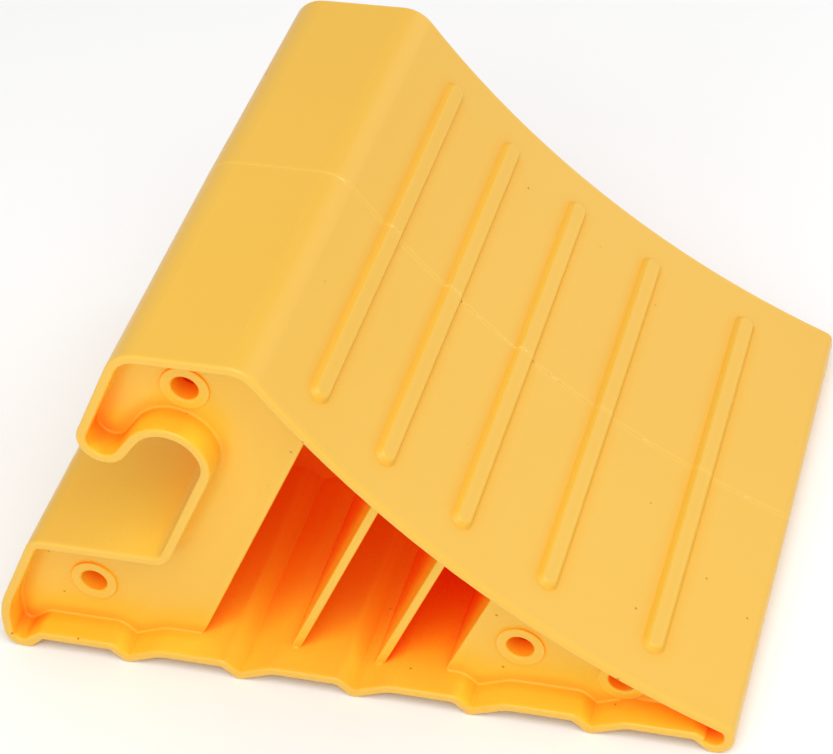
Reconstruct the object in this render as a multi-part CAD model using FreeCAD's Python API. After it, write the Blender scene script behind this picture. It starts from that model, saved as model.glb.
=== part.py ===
import FreeCAD, Part
import math
import os
from FreeCAD import Vector

# Plastic wheel chock, millimetres.  +X points to the toe that goes under the tyre, +Y runs along
# the tyre's width, +Z is up.  The origin is the middle of the footprint, on the ground.
# Two mirror-image mouldings, one each side of the plane y = 0, are welded together there.

# ---- driving dimensions ----------------------------------------------------------------------
length = 253.0            # heel to toe, at the weld plane
width = 200.0             # both mouldings together
height = 139.7            # top flat at the open ends
draft = 0.45              # each outer wall stands this much further out at the weld plane
seam = 0.2                # small bevel round the weld plane, half of the joint's V
skin = 3.3                # wall of the outer band at the open ends
wall = 3.0                # side webs, cell walls and leaning ribs
end_length = 2.0          # each open end has no draft over this length
end_round = 1.0           # rounding of the open ends of the outer band
rib_round = 0.8           # rounding of the free edges of ribs and webs

# back wall and hook
lean = 0.493              # run of the leaning back wall for each unit of rise
back_foot = -134.6        # x where the plane of the back wall would meet the ground
heel_height = 10.0        # height at which the heel stands furthest back
heel_round = 6.0
ledge_height = 52.4       # floor of the grip slot
ledge_round = 7.0
slot_foot = -88.7         # x where the plane of the slot's inner wall would meet the ground
slot_corner = 4.0
slot_radius = 11.3        # rounded top of the slot
slot_height = 95.6        # centre of that rounding
lip_radius = 8.7
lip_height = 101.5
top_round = 12.0

# ramp
ramp_radius = 345.5       # the tyre that it fits
crest_x = -22.3           # the ramp's arc meets the plane of the top flat here
crest_round = 12.0
toe_height = 11.6         # the ramp's arc meets the front of the toe here
toe_round = 3.2
nose_round = 7.0
toe_hollow_round = 2.0    # inside of the toe, where the ramp's skin turns down

# gripping ridges under the base
ridge_pitch = 40.1
ridge_count = 5
ridge_last = 78.8         # x of the ridge nearest to the toe
heel_ridge = -118.0
toe_ridge = 118.8
ridge_depth = 4.6
ridge_flat = 1.2          # width of each tip
tip_round = 1.2
steep_slope = math.radians(43.0)
gentle_slope = math.radians(22.0)
steep_root = 2.0
gentle_root = 10.0
groove_round = 0.6        # bottom of the groove inside each ridge

# webs, cells and ribs, as seen from an open end
recess = 11.2             # the webs stand this far inside the open ends
web_lean = 0.487
back_web_edge = -60.8     # x, on the ground, of the edge where the back web stops
toe_web_edge = 23.9       # x, on the ground, of the edge where the toe web starts
rib_edges = (-26.4, 3.6)  # x, on the ground, of the front face of each leaning rib
web_corner = 0.8          # rounding where a web meets the outer band

# holes in the webs: x, z
holes = ((-48.2, 119.5), (-93.6, 26.5), (54.2, 24.7), (87.7, 15.7))
hole_radius = 4.6
collar_radius = 7.2
collar_length = 7.0
ring_radius = 8.2
ring_height = 1.0
hole_round = 0.9

# raised bars across the ramp: x of each bar
bars = (-6.5, 12.7, 35.9, 62.6, 96.7)
bar_half_length = 85.2
bar_width = 8.2
bar_top_width = 5.0
bar_height = 2.0
bar_edge_round = 0.9
bar_root = 1.0            # each bar reaches this far down into the skin

# working allowances
overshoot = 10.0          # leaning cutters run past the outside by this much
mouth_reach = 1.0         # cell cutters start this far in front of the webs
corner_steps = 5          # straight pieces in a cutter's quarter-round mouth
shortest_edge = 0.01      # gaps below this need no line between two arcs
plane_tolerance = 1e-4    # an edge this close to a plane lies in it

# ---- worked out from the driving dimensions ----------------------------------------------------
half_width = width / 2
end_x = length / 2 - draft                    # heel and toe at the open ends
lean_cos = 1 / math.hypot(1, lean)
web_plane = -half_width + recess
cell_floor = -wall


def circle_centre(radius, a, b):
    """Centre, above the chord, of the circle of this radius through the points a and b."""
    mid_x = (a[0] + b[0]) / 2
    mid_z = (a[1] + b[1]) / 2
    chord = math.hypot(b[0] - a[0], b[1] - a[1])
    rise = math.sqrt(radius ** 2 - (chord / 2) ** 2)
    return mid_x - (b[1] - a[1]) / chord * rise, mid_z + (b[0] - a[0]) / chord * rise


ramp_x, ramp_z = circle_centre(ramp_radius, (crest_x, height), (end_x, toe_height))


def against_back(z, radius):
    """Corner circle at height z that touches the back wall from inside."""
    return back_foot + lean * z + radius / lean_cos, z, radius


def against_slot(z, radius):
    """Hollow corner circle at height z that touches the slot's inner wall from outside."""
    return slot_foot + lean * z - radius / lean_cos, z, -radius


def under_ramp_above(z, radius, side):
    """x of a corner circle at height z that touches the ramp, on the given side of its centre."""
    reach = math.sqrt((ramp_radius + radius) ** 2 - (ramp_z - z) ** 2)
    return ramp_x + side * reach


def upper_outline():
    """Corner circles (x, z, radius) from heel to ramp; a hollow corner has a negative radius."""
    gap = -end_x - (back_foot + lean * heel_height)
    belly = gap * lean_cos / (1 - lean_cos)
    crest_z = height - crest_round
    return [
        (-end_x + belly, heel_height, belly),
        against_back(ledge_height - ledge_round, ledge_round),
        against_slot(ledge_height + slot_corner, slot_corner),
        against_slot(slot_height, slot_radius),
        against_back(lip_height, lip_radius),
        against_back(height - top_round, top_round),
        (under_ramp_above(crest_z, crest_round, -1), crest_z, crest_round),
        (ramp_x, ramp_z, -ramp_radius),
    ]


def toe_corner(front_x, ramp, radius):
    """Corner circle between an upright at front_x and the ramp's arc of this radius."""
    x = front_x - radius
    return x, ramp_z - math.sqrt((ramp + radius) ** 2 - (ramp_x - x) ** 2), radius


def slope_root(tip_x, slope, side, radius):
    """Hollow corner circle where a ridge's flank, rising to the given side, meets the flat."""
    run = (ridge_depth - tip_round * (1 - math.cos(slope))) / math.tan(slope)
    flank_x = tip_x + side * (ridge_flat / 2 + tip_round * math.sin(slope) + run)
    return flank_x + side * radius * math.tan(slope / 2), ridge_depth - radius, -radius


def ridge(tip_x, heel_side=True, toe_side=True):
    """Corner circles of one ridge, from its toe side to its heel side."""
    circles = []
    if toe_side:
        circles.append(slope_root(tip_x, gentle_slope, 1, gentle_root))
        circles.append((tip_x + ridge_flat / 2, tip_round, tip_round))
    if heel_side:
        circles.append((tip_x - ridge_flat / 2, tip_round, tip_round))
        circles.append(slope_root(tip_x, steep_slope, -1, steep_root))
    return circles


def groove(tip_x):
    """Corner circle at the bottom of the groove that follows a ridge on the inside."""
    reach = skin + groove_round - tip_round
    normals = ((-math.sin(steep_slope), -math.cos(steep_slope)),
               (math.sin(gentle_slope), -math.cos(gentle_slope)))
    tips = (tip_x - ridge_flat / 2, tip_x + ridge_flat / 2)
    (a, b), (c, d) = normals
    left = a * tips[0] + b * tip_round - reach
    right = c * tips[1] + d * tip_round - reach
    det = a * d - b * c
    return (left * d - right * b) / det, (a * right - c * left) / det, groove_round


ridge_tips = [ridge_last - ridge_pitch * i for i in range(ridge_count)]


def outer_outline(grow, base_grow=0.0):
    """Corner circles of the outside, clockwise from the heel, grown by the draft; the base less."""
    circles = [(x, z, r + grow) for x, z, r in upper_outline()]
    circles.append(toe_corner(end_x + grow, ramp_radius - grow, toe_round))
    base = [(end_x - nose_round, nose_round, nose_round)]
    base += ridge(toe_ridge, toe_side=False)
    for tip_x in ridge_tips:
        base += ridge(tip_x)
    base.append(slope_root(heel_ridge, steep_slope, 1, steep_root))
    base.append((heel_ridge + ridge_flat / 2, tip_round, tip_round))
    base.append((-end_x + heel_round, heel_round, heel_round))
    return circles + [(x, z, r + base_grow) for x, z, r in base]


def inner_outline():
    """Corner circles of the inside of the outer band, one skin thickness further in."""
    circles = [inward(circle) for circle in upper_outline()]
    circles.append(toe_corner(end_x - skin, ramp_radius + skin, toe_hollow_round))
    circles.append((end_x - nose_round, nose_round, nose_round - skin))
    circles.append(inward(slope_root(toe_ridge, steep_slope, -1, steep_root)))
    for tip_x in ridge_tips:
        circles.append(inward(slope_root(tip_x, gentle_slope, 1, gentle_root)))
        circles.append(groove(tip_x))
        circles.append(inward(slope_root(tip_x, steep_slope, -1, steep_root)))
    circles.append(inward(slope_root(heel_ridge, steep_slope, 1, steep_root)))
    circles.append((-end_x + heel_round, heel_round, heel_round - skin))
    return circles


def inward(circle):
    x, z, radius = circle
    return x, z, radius - skin


def belt(circles, y):
    """Closed wire in the plane y: the tangent lines from circle to circle and the arcs between."""
    count = len(circles)
    normals = []
    for i, (x1, z1, r1) in enumerate(circles):
        x2, z2, r2 = circles[(i + 1) % count]
        span = math.hypot(x2 - x1, z2 - z1)
        ux = (x2 - x1) / span
        uz = (z2 - z1) / span
        s = max(-1.0, min(1.0, (r1 - r2) / span))
        c = math.sqrt(1 - s * s)
        normals.append((ux * s - uz * c, uz * s + ux * c))
    edges = []
    for i, (x, z, r) in enumerate(circles):
        before = normals[i - 1]
        after = normals[i]
        start = Vector(x + r * before[0], y, z + r * before[1])
        finish = Vector(x + r * after[0], y, z + r * after[1])
        middle_x = before[0] + after[0]
        middle_z = before[1] + after[1]
        size = math.hypot(middle_x, middle_z)
        middle = Vector(x + r * middle_x / size, y, z + r * middle_z / size)
        edges.append(Part.Arc(start, middle, finish).toShape())
        x2, z2, r2 = circles[(i + 1) % count]
        ahead = Vector(x2 + r2 * after[0], y, z2 + r2 * after[1])
        if (ahead - finish).Length > shortest_edge:
            edges.append(Part.LineSegment(finish, ahead).toShape())
    return Part.Wire(Part.__sortEdges__(edges))


def prism(wire, start, finish):
    """Solid that sweeps a wire, drawn in any plane y, from y = start to y = finish."""
    face = Part.Face(wire)
    face.translate(Vector(0, start - wire.BoundBox.YMin, 0))
    return face.extrude(Vector(0, finish - start, 0))


def leaning_prism(points):
    """Solid that sweeps a horizontal outline, drawn on the ground, up along the webs' lean."""
    rise = height + 2 * overshoot
    outline = [Vector(x - web_lean * overshoot, y, -overshoot) for x, y in points]
    face = Part.Face(Part.makePolygon(outline + outline[:1]))
    return face.extrude(Vector(web_lean * rise, 0, rise))


def lies_in_plane(shape, y):
    """Whether an edge or face lies wholly in the plane y."""
    box = shape.BoundBox
    return max(abs(box.YMin - y), abs(box.YMax - y)) < plane_tolerance


def edges_in_plane(shape, y):
    """Edges of the shape that lie wholly in the plane y."""
    found = []
    for edge in shape.Edges:
        if lies_in_plane(edge, y):
            found.append(edge)
    return found


def outer_block():
    """The outside of one moulding as a solid block, with its draft and its rounded open end."""
    end = prism(belt(outer_outline(0.0), -half_width), -half_width, -half_width + end_length)
    end = end.makeFillet(end_round, edges_in_plane(end, -half_width))
    drafted = Part.makeLoft([belt(outer_outline(0.0), -half_width + end_length),
                             belt(outer_outline(draft), -seam)], True, True)
    rim = Part.makeLoft([belt(outer_outline(draft), -seam),
                         belt(outer_outline(draft - seam, -seam), 0.0)], True, True)
    return end.fuse(drafted).fuse(rim)


def recess_cutter():
    """Shallow pocket in front of the webs, with a soft corner where it meets them."""
    cutter = prism(belt(inner_outline(), 0.0), -half_width, web_plane)
    return cutter.makeFillet(web_corner, edges_in_plane(cutter, web_plane))


def quarter(x, y, side):
    """Points of a rounded corner that curves from the plane y to the wall at x."""
    angles = [math.pi / 2 * i / corner_steps for i in range(corner_steps + 1)]
    return [(x - side * rib_round * (1 - math.sin(a)), y + rib_round * (1 - math.cos(a)))
            for a in angles]


def cell_cutter(left, right):
    """One open cell: its mouth rounds the free edges of the ribs or webs beside it."""
    start = web_plane - mouth_reach
    outline = [(left - rib_round, start)] + quarter(left, web_plane, 1)
    outline += [(left, cell_floor), (right, cell_floor)]
    outline += quarter(right, web_plane, -1)[::-1] + [(right + rib_round, start)]
    inside = prism(belt(inner_outline(), 0.0), start, cell_floor)
    return inside.common(leaning_prism(outline))


def cell_cutters():
    """The open cells between the webs and the leaning ribs."""
    run = wall * math.hypot(1, web_lean)
    lefts = [back_web_edge] + list(rib_edges)
    rights = [edge - run for edge in rib_edges] + [toe_web_edge]
    return [cell_cutter(a, b) for a, b in zip(lefts, rights)]


def chamber_cutter(left, right):
    """Closed hollow behind a web, between two leaning planes."""
    start = web_plane + wall
    inside = prism(belt(inner_outline(), 0.0), start, 0.0)
    return inside.common(leaning_prism([(left, start), (right, start), (right, 0.0), (left, 0.0)]))


def chamber_cutters():
    """The closed hollows behind the back web and the toe web."""
    run = wall * math.hypot(1, web_lean)
    return [chamber_cutter(-length, back_web_edge - run),
            chamber_cutter(toe_web_edge + run, length)]


def cylinder(x, z, radius, start, finish):
    return Part.makeCylinder(radius, finish - start, Vector(x, start, z), Vector(0, 1, 0))


def mouth_edges(shape, y):
    """Edges round the openings of the shape's flat face in the plane y."""
    edges = []
    for face in shape.Faces:
        if lies_in_plane(face, y):
            for wire in face.Wires:
                if not wire.isSame(face.OuterWire):
                    edges += wire.Edges
    return edges


def collar(x, z):
    """Raised ring in front of the web and short tube behind it, round one hole."""
    ring = cylinder(x, z, ring_radius, web_plane - ring_height, web_plane + wall)
    ring = ring.makeFillet(ring_height / 2, edges_in_plane(ring, web_plane - ring_height))
    return ring.fuse(cylinder(x, z, collar_radius, web_plane, web_plane + collar_length))


def hole_cutter(x, z):
    """The hole itself, flared at its mouth."""
    front = web_plane - ring_height
    cutter = cylinder(x, z, hole_radius, front, web_plane + collar_length)
    profile = Part.makeTorus(hole_radius + hole_round, hole_round, Vector(x, front + hole_round, z),
                             Vector(0, 1, 0))
    flare = cylinder(x, z, hole_radius + hole_round, front, front + hole_round)
    return cutter.fuse(flare.cut(profile))


def stadium(half_long, half_wide, z):
    """Flat ring outline with round ends, long in Y, at height z."""
    straight = half_long - half_wide
    a = Vector(-half_wide, -straight, z)
    b = Vector(half_wide, -straight, z)
    c = Vector(half_wide, straight, z)
    d = Vector(-half_wide, straight, z)
    low = Part.Arc(a, Vector(0, -half_long, z), b).toShape()
    high = Part.Arc(c, Vector(0, half_long, z), d).toShape()
    return Part.Wire([low, Part.LineSegment(b, c).toShape(), high, Part.LineSegment(d, a).toShape()])


def bar(x):
    """Raised bar with sloping sides that stands on the ramp at x and crosses the weld plane."""
    radius = ramp_radius - draft
    z = ramp_z - math.sqrt(radius ** 2 - (ramp_x - x) ** 2)
    slope = (bar_width - bar_top_width) / 2 / bar_height
    spread = slope * bar_root
    low = stadium(bar_half_length + spread, bar_width / 2 + spread, -bar_root)
    high = stadium(bar_half_length - slope * bar_height, bar_top_width / 2, bar_height)
    pad = Part.makeLoft([low, high], True, True)
    rim = [e for e in pad.Edges if abs(e.BoundBox.ZMin - bar_height) < plane_tolerance]
    pad = pad.makeFillet(bar_edge_round, rim)
    pad.rotate(Vector(0, 0, 0), Vector(1, 0, 0), math.degrees(math.atan(draft / half_width)))
    pad.rotate(Vector(0, 0, 0), Vector(0, 1, 0), math.degrees(math.asin((ramp_x - x) / radius)))
    pad.translate(Vector(x, 0, z))
    return pad.common(Part.makeBox(length * 2, half_width, height * 2,
                                   Vector(-length, -half_width, -height / 2)))


def half_shell():
    """The moulding on the -Y side."""
    shell = outer_block()
    for x in bars:
        shell = shell.fuse(bar(x))
    shell = shell.cut(recess_cutter())
    shell = shell.makeFillet(rib_round, mouth_edges(shell, -half_width))
    for cutter in cell_cutters():
        shell = shell.cut(cutter)
    for cutter in chamber_cutters():
        shell = shell.cut(cutter)
    for x, z in holes:
        shell = shell.fuse(collar(x, z))
        shell = shell.cut(hole_cutter(x, z))
    return shell


def main():
    os.makedirs("parts", exist_ok=True)
    near = half_shell()
    far = near.mirror(Vector(0, 0, 0), Vector(0, 1, 0))
    for name, shape in (("near_shell", near), ("far_shell", far)):
        solids = shape.Solids
        box = shape.BoundBox
        print(name, "solids", len(solids), "valid", shape.isValid(), "volume", round(shape.Volume),
              "faces", len(shape.Faces), "box", [round(v, 2) for v in (
                  box.XMin, box.XMax, box.YMin, box.YMax, box.ZMin, box.ZMax)])
        solids[0].exportStep("parts/" + name + ".step")


main()
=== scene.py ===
import math
import random

import bmesh
import bpy
from mathutils import Matrix, Vector
from mathutils.bvhtree import BVHTree


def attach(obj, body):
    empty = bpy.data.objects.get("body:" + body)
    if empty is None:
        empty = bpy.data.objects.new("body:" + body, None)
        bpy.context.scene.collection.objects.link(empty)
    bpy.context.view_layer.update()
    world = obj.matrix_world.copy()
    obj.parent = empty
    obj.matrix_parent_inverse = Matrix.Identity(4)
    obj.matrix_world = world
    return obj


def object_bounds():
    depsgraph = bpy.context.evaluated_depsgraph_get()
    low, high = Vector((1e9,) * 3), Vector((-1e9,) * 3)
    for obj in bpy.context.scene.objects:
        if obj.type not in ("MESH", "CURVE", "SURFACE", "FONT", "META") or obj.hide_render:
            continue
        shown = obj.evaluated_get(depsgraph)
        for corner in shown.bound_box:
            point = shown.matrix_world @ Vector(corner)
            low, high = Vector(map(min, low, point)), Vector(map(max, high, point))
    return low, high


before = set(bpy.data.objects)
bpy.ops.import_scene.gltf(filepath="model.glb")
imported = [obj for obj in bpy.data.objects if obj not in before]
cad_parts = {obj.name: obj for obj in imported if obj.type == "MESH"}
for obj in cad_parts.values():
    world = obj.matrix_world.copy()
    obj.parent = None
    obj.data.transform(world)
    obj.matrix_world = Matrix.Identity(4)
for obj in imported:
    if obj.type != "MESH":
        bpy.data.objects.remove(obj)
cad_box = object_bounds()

# ---- camera --------------------------------------------------------------------------------------
CAMERA_PLACE = Vector((0.2310, -0.6702, 0.6609))
CAMERA_AZIMUTH = 19.254          # degrees, round from -Y towards +X
CAMERA_ELEVATION = 40.464
CAMERA_ROLL = -5.742
CAMERA_LENS = 116.79             # millimetres, on a sensor this wide:
SENSOR = 36.0
CAMERA_CLIP = (0.01, 20.0)       # metres


def make_camera():
    """A camera that looks at the chock from above its open near side."""
    azimuth = math.radians(CAMERA_AZIMUTH)
    elevation = math.radians(CAMERA_ELEVATION)
    back = Vector((math.sin(azimuth) * math.cos(elevation),
                   -math.cos(azimuth) * math.cos(elevation), math.sin(elevation)))
    aim = (-back).to_track_quat("-Z", "Y").to_matrix()
    roll = Matrix.Rotation(math.radians(CAMERA_ROLL), 3, "Z")
    data = bpy.data.cameras.new("camera")
    data.lens = CAMERA_LENS
    data.sensor_width = SENSOR
    data.clip_start, data.clip_end = CAMERA_CLIP
    camera = bpy.data.objects.new("camera", data)
    camera.matrix_world = Matrix.Translation(CAMERA_PLACE) @ (aim @ roll).to_4x4()
    bpy.context.scene.collection.objects.link(camera)
    bpy.context.scene.camera = camera


# ---- materials -----------------------------------------------------------------------------------
class Nodes:
    """Short ways to add and link shader nodes in one material."""

    def __init__(self, name):
        self.material = bpy.data.materials.new(name)
        self.material.use_nodes = True
        self.tree = self.material.node_tree
        self.shader = self.tree.nodes["Principled BSDF"]

    def new(self, kind, **settings):
        node = self.tree.nodes.new(kind)
        for key, value in settings.items():
            setattr(node, key, value)
        return node

    def join(self, source, target):
        self.tree.links.new(source, target)

    def place(self):
        return self.new("ShaderNodeTexCoord").outputs["Object"]

    def noise(self, scale, detail=2.0, roughness=0.5):
        node = self.new("ShaderNodeTexNoise")
        node.inputs["Scale"].default_value = scale
        node.inputs["Detail"].default_value = detail
        node.inputs["Roughness"].default_value = roughness
        self.join(self.place(), node.inputs["Vector"])
        return node.outputs["Fac"]

    def spread(self, value, low, high, to_low=0.0, to_high=1.0):
        node = self.new("ShaderNodeMapRange", interpolation_type="SMOOTHSTEP")
        node.inputs["From Min"].default_value = low
        node.inputs["From Max"].default_value = high
        node.inputs["To Min"].default_value = to_low
        node.inputs["To Max"].default_value = to_high
        self.join(value, node.inputs["Value"])
        return node.outputs["Result"]

    def ramp(self, value, stops):
        node = self.new("ShaderNodeValToRGB")
        node.color_ramp.interpolation = "EASE"
        points = node.color_ramp.elements
        while len(points) < len(stops):
            points.new(0.5)
        for point, (place, colour) in zip(points, stops):
            point.position = place
            point.color = (*colour, 1.0)
        self.join(value, node.inputs["Fac"])
        return node.outputs["Color"]

    def blend(self, share, first, second, mode="MIX"):
        node = self.new("ShaderNodeMix", data_type="RGBA", blend_type=mode)
        for value, socket in ((share, node.inputs["Factor"]), (first, node.inputs["A"]),
                              (second, node.inputs["B"])):
            self.feed(value, socket)
        return node.outputs["Result"]

    def feed(self, value, socket):
        if isinstance(value, bpy.types.NodeSocket):
            self.join(value, socket)
        elif isinstance(value, tuple):
            socket.default_value = (*value, 1.0)
        else:
            socket.default_value = value

    def math(self, operation, first, second):
        node = self.new("ShaderNodeMath", operation=operation)
        self.feed(first, node.inputs[0])
        self.feed(second, node.inputs[1])
        return node.outputs["Value"]

    def bump(self, height, distance, strength, under=None):
        node = self.new("ShaderNodeBump")
        node.inputs["Distance"].default_value = distance
        node.inputs["Strength"].default_value = strength
        self.join(height, node.inputs["Height"])
        if under is not None:
            self.join(under, node.inputs["Normal"])
        return node.outputs["Normal"]


PAINTED_HOLLOW_REACH = 0.07              # metres over which nearby walls set the painted shade and painted bounce light in hollows
# painted shade and light: deep hollows painted red, half-open recesses painted brighter, open faces
# plain amber
HOLLOW_SHADE_TINTS = ((0.00, (0.93, 0.016, 0.000)), (0.13, (0.93, 0.022, 0.001)),
                (0.20, (0.93, 0.300, 0.006)), (0.30, (0.91, 0.480, 0.020)),
                (0.45, (0.87, 0.610, 0.046)), (0.70, (0.83, 0.495, 0.040)),
                (1.00, (0.822, 0.476, 0.051)))
# painted glow, standing in for light that has crossed the 3 mm walls, against how open the place is
PAINTED_HOLLOW_GLOW = ((0.00, (0.105, 0.000, 0.000)), (0.13, (0.115, 0.002, 0.000)),
             (0.20, (0.135, 0.032, 0.000)), (0.30, (0.150, 0.060, 0.001)),
             (0.45, (0.110, 0.075, 0.003)), (0.60, (0.090, 0.040, 0.001)),
             (0.80, (0.035, 0.010, 0.000)), (0.96, (0.000, 0.000, 0.000)))
WHITE = (1.0, 1.0, 1.0)
OPENNESS_RAYS = 4
FLOW_SCALE = 11.0                # broad streaks of slightly paler plastic
FLOW_TINT = (0.985, 0.97, 0.90)
CREASE_SHADE_REACH = 0.005             # the smaller reach of the painted shade beside a step or a corner
CREASE_SHADE_RANGE = (0.68, 0.985)     # openness at which a crease is fully painted with shade, and not at all
# painted shade: creases darkened to a deeper orange
CREASE_SHADE_TINT = (0.97, 0.74, 0.32)
SHUT_IN_RANGE = (0.55, 0.92)     # openness over which the painted crease shade fades to this share
SHUT_IN_SHARE = 0.45
RIM_HIGHLIGHT_REACH = 0.0022              # less than a wall's thickness, so only edges and rims answer
RIM_HIGHLIGHT_RANGE = (0.45, 0.95)
# painted highlight: rims and convex edges made paler and whiter
RIM_HIGHLIGHT_TINT = (1.04, 1.10, 1.30)
SPECK_SCALE = 110.0
SPECK_SHARE = 0.32               # only cells with a random shade below this have one
SPECK_RADIUS = 0.035             # as a share of a cell
SPECK_TINT = (0.62, 0.42, 0.30)
SATIN_SCALE = 260.0
SATIN = (0.28, 0.38)             # roughness, least and most
CREASE_ROUGHNESS = 0.5           # added where the mould could not be polished
WAVE_BUMP = (38.0, 0.0010, 0.10)         # scale, height in metres, strength
GRAIN_BUMP = (1400.0, 0.00005, 0.35)
GRAIN_ROUGHNESS = 0.6


def openness(n, reach, inside=False):
    """How much of the surroundings within reach is open air, or solid plastic, from 0 to 1."""
    node = n.new("ShaderNodeAmbientOcclusion", samples=OPENNESS_RAYS, only_local=True,
                 inside=inside)
    node.inputs["Distance"].default_value = reach
    return node.outputs["AO"]


def tinted(n, colour, share, tint):
    """The colour multiplied by the tint, as far as share says."""
    return n.blend(1.0, colour, n.blend(share, WHITE, tint), "MULTIPLY")


def specks(n):
    """Sparse dark dots, one in some of the cells of a random pattern."""
    node = n.new("ShaderNodeTexVoronoi")
    node.inputs["Scale"].default_value = SPECK_SCALE
    n.join(n.place(), node.inputs["Vector"])
    dot = n.spread(node.outputs["Distance"], SPECK_RADIUS, 2.0 * SPECK_RADIUS, 1.0, 0.0)
    chosen = n.math("LESS_THAN", node.outputs["Color"], SPECK_SHARE)
    return n.math("MULTIPLY", dot, chosen)


def moulded_bump(n):
    """The slight waviness of the mould's polish under a fine satin grain."""
    wave_scale, wave_height, wave_strength = WAVE_BUMP
    wave = n.bump(n.noise(wave_scale), wave_height, wave_strength)
    grain_scale, grain_height, grain_strength = GRAIN_BUMP
    grain = n.noise(grain_scale, roughness=GRAIN_ROUGHNESS)
    return n.bump(grain, grain_height, grain_strength, under=wave)


def amber_plastic():
    """Yellow polypropylene, satin; its slight see-through look is painted in: shade that turns it
    redder the deeper it is shut in, a glow in hollows, darker creases and paler rims.
    """
    n = Nodes("amber_plastic")
    open_share = openness(n, PAINTED_HOLLOW_REACH)
    flow = n.blend(n.spread(n.noise(FLOW_SCALE), 0.3, 0.7), FLOW_TINT, WHITE)
    # painted shade and light: the colour follows how shut in each place is
    colour = n.blend(1.0, n.ramp(open_share, HOLLOW_SHADE_TINTS), flow, "MULTIPLY")
    # painted shade in creases and at the feet of steps
    crease_shade = n.spread(openness(n, CREASE_SHADE_REACH), *CREASE_SHADE_RANGE, 1.0, 0.0)
    crease_shade = n.math("MULTIPLY", crease_shade,
                    n.spread(open_share, *SHUT_IN_RANGE, SHUT_IN_SHARE, 1.0))
    colour = tinted(n, colour, crease_shade, CREASE_SHADE_TINT)
    # painted highlight on rims and edges
    rim_highlight = n.spread(openness(n, RIM_HIGHLIGHT_REACH, inside=True), *RIM_HIGHLIGHT_RANGE, 1.0, 0.0)
    colour = tinted(n, colour, rim_highlight, RIM_HIGHLIGHT_TINT)
    colour = tinted(n, colour, specks(n), SPECK_TINT)
    n.join(colour, n.shader.inputs["Base Color"])
    satin = n.spread(n.noise(SATIN_SCALE, 3.0), 0.2, 0.8, *SATIN)
    dulled = n.math("ADD", satin, n.math("MULTIPLY", crease_shade, CREASE_ROUGHNESS))
    n.join(dulled, n.shader.inputs["Roughness"])
    n.join(moulded_bump(n), n.shader.inputs["Normal"])
    # painted glow: the hollows shine from within, as if lit through the walls
    n.join(n.ramp(open_share, PAINTED_HOLLOW_GLOW), n.shader.inputs["Emission Color"])
    n.shader.inputs["Emission Strength"].default_value = 1.0
    return n.material


FLASH_SCALES = (700.0, 900.0)            # of its patches and of its gloss
FLASH_TINTS = ((0.83, 0.50, 0.07), (0.87, 0.62, 0.19))
FLASH_ROUGHNESS = (0.38, 0.55)


def flash_plastic():
    """The thin squeezed-out weld flash, paler than the walls because it is stretched."""
    n = Nodes("flash_plastic")
    patch = n.spread(n.noise(FLASH_SCALES[0]), 0.35, 0.65)
    n.join(n.blend(patch, *FLASH_TINTS), n.shader.inputs["Base Color"])
    gloss = n.spread(n.noise(FLASH_SCALES[1]), 0.3, 0.7, *FLASH_ROUGHNESS)
    n.join(gloss, n.shader.inputs["Roughness"])
    return n.material


FLOOR_TINTS = ((0.955, 0.955, 0.955), (0.975, 0.975, 0.975))
FLOOR_SCALE = 3.0
FLOOR_ROUGHNESS = 0.7
FLOOR_SPECULAR = 0.2


def floor_paint():
    """Plain matt white, with hardly any variation."""
    n = Nodes("pale_floor")
    n.join(n.blend(n.noise(FLOOR_SCALE), *FLOOR_TINTS), n.shader.inputs["Base Color"])
    n.shader.inputs["Roughness"].default_value = FLOOR_ROUGHNESS
    n.shader.inputs["Specular IOR Level"].default_value = FLOOR_SPECULAR
    return n.material


# ---- studio --------------------------------------------------------------------------------------
def area_light(name, place, target, size, power):
    """A rectangular lamp that points at the target."""
    data = bpy.data.lights.new(name, "AREA")
    data.shape = "RECTANGLE"
    data.size, data.size_y = size
    data.energy = power
    lamp = bpy.data.objects.new(name, data)
    lamp.location = place
    lamp.rotation_euler = (Vector(target) - Vector(place)).to_track_quat("-Z", "Y").to_euler()
    bpy.context.scene.collection.objects.link(lamp)


FLOOR_REACH = 3.0                # metres from the middle to each edge
AIM = (0.0, 0.0, 0.05)
SKY_STRENGTH = 0.575
# each lamp: name, place and size in metres, power in watts
LAMPS = (("key", (0.38, -0.74, 1.54), (1.5, 1.2), 17.0),
         ("front", (-0.35, -1.5, 0.9), (1.4, 1.0), 4.8),
         ("sheen", (1.1, 1.3, 0.85), (1.6, 1.2), 4.6))


def make_studio():
    """An even white sky, a pale floor and three soft lamps."""
    world = bpy.data.worlds.new("studio")
    world.use_nodes = True
    sky = world.node_tree.nodes["Background"]
    sky.inputs["Color"].default_value = (*WHITE, 1.0)
    sky.inputs["Strength"].default_value = SKY_STRENGTH
    bpy.context.scene.world = world
    mesh = bpy.data.meshes.new("floor")
    r = FLOOR_REACH
    mesh.from_pydata([(-r, -r, 0), (r, -r, 0), (r, r, 0), (-r, r, 0)], [], [(0, 1, 2, 3)])
    floor = bpy.data.objects.new("floor", mesh)
    bpy.context.scene.collection.objects.link(floor)
    mesh.materials.append(floor_paint())
    for name, place, size, power in LAMPS:
        area_light(name, place, AIM, size, power)


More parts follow.
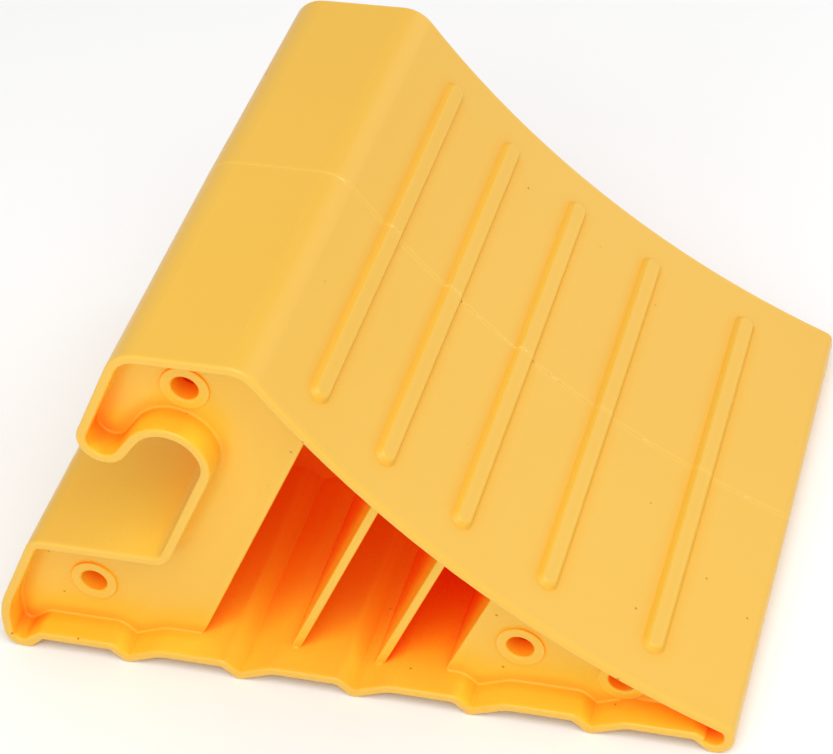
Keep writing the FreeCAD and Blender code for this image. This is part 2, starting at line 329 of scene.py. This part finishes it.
# ---- weld flash along the seam -------------------------------------------------------------------
# each run: the side it is on, and its ends as shares of the length (top) or the height (back)
FLASH_RUNS = (("top", 0.405, 0.425), ("top", 0.466, 0.486), ("top", 0.530, 0.570),
              ("top", 0.578, 0.588), ("top", 0.602, 0.668), ("top", 0.674, 0.690),
              ("top", 0.800, 0.812), ("top", 0.935, 0.950),
              ("back", 0.42, 0.50), ("back", 0.53, 0.57), ("back", 0.66, 0.78))
FLASH_WIDTH = 0.00042            # metres, to each side of the seam
FLASH_PROUD = 0.00022            # above the skin
FLASH_STEP = 0.0006              # between the rings of one sliver
FLASH_SIDES = 8
FLASH_SEED = 4
FLASH_TIP = 0.06                 # its thickness at the ends, as a share of the middle
FLASH_TAPER = 0.6                # below 1 keeps it full almost to the ends
FLASH_RAGGED = (0.55, 1.0)
FLASH_WANDER = 0.25
FEWEST_STEPS = 6
BESIDE_SEAM = 0.0007             # where the skin is felt for, clear of the seam's own groove


def skin_at(tree, side, share, low, high):
    """The skin's place and facing at one point along the seam."""
    if side == "top":
        start = Vector((low.x + share * (high.x - low.x), -BESIDE_SEAM, high.z + BESIDE_SEAM))
        heading = Vector((0.0, 0.0, -1.0))
    else:
        start = Vector((low.x - BESIDE_SEAM, -BESIDE_SEAM, low.z + share * (high.z - low.z)))
        heading = Vector((1.0, 0.0, 0.0))
    place, facing, _, _ = tree.ray_cast(start, heading)
    return Vector((place.x, 0.0, place.z)), facing


def sliver(bm, tree, side, ends, corners, chance):
    """One ragged strip of flash: a closed, tapered skin of rings half sunk in the seam."""
    low, high = corners
    span = (ends[1] - ends[0]) * (high.x - low.x if side == "top" else high.z - low.z)
    count = max(FEWEST_STEPS, round(span / FLASH_STEP))
    rings = []
    for i in range(count + 1):
        along = i / count
        place, facing = skin_at(tree, side, ends[0] + along * (ends[1] - ends[0]), low, high)
        taper = FLASH_TIP + math.sin(math.pi * along) ** FLASH_TAPER
        fat = taper * chance.uniform(*FLASH_RAGGED)
        lean = chance.uniform(-FLASH_WANDER, FLASH_WANDER) * FLASH_WIDTH
        ring = []
        for k in range(FLASH_SIDES):
            turn = math.tau * k / FLASH_SIDES
            across = Vector((0.0, lean + FLASH_WIDTH * fat * math.cos(turn), 0.0))
            ring.append(bm.verts.new(place + across + facing * FLASH_PROUD * fat * math.sin(turn)))
        rings.append(ring)
    for first, second in zip(rings, rings[1:]):
        for k in range(FLASH_SIDES):
            after = (k + 1) % FLASH_SIDES
            bm.faces.new((first[k], first[after], second[after], second[k]))
    bm.faces.new(rings[0])
    bm.faces.new(reversed(rings[-1]))


def make_flash():
    """All the slivers as one mesh, laid on the outside of the shells at mid-width."""
    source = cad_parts["near_shell"].data
    tree = BVHTree.FromPolygons([v.co for v in source.vertices],
                                [p.vertices for p in source.polygons])
    corners = tuple(Vector(corner) for corner in cad_box)
    chance = random.Random(FLASH_SEED)
    bm = bmesh.new()
    for side, start, end in FLASH_RUNS:
        sliver(bm, tree, side, (start, end), corners, chance)
    bmesh.ops.recalc_face_normals(bm, faces=bm.faces)
    mesh = bpy.data.meshes.new("seam_flash")
    bm.to_mesh(mesh)
    bm.free()
    mesh.polygons.foreach_set("use_smooth", [True] * len(mesh.polygons))
    mesh.materials.append(flash_plastic())
    flash = bpy.data.objects.new("seam_flash", mesh)
    bpy.context.scene.collection.objects.link(flash)
    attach(flash, "root")


def dress_shells():
    """The same plastic on both mouldings."""
    amber = amber_plastic()
    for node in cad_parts.values():
        for slot in node.material_slots:
            slot.material = amber


make_camera()
make_studio()
make_flash()
dress_shells()
bpy.context.scene.view_settings.view_transform = "Standard"
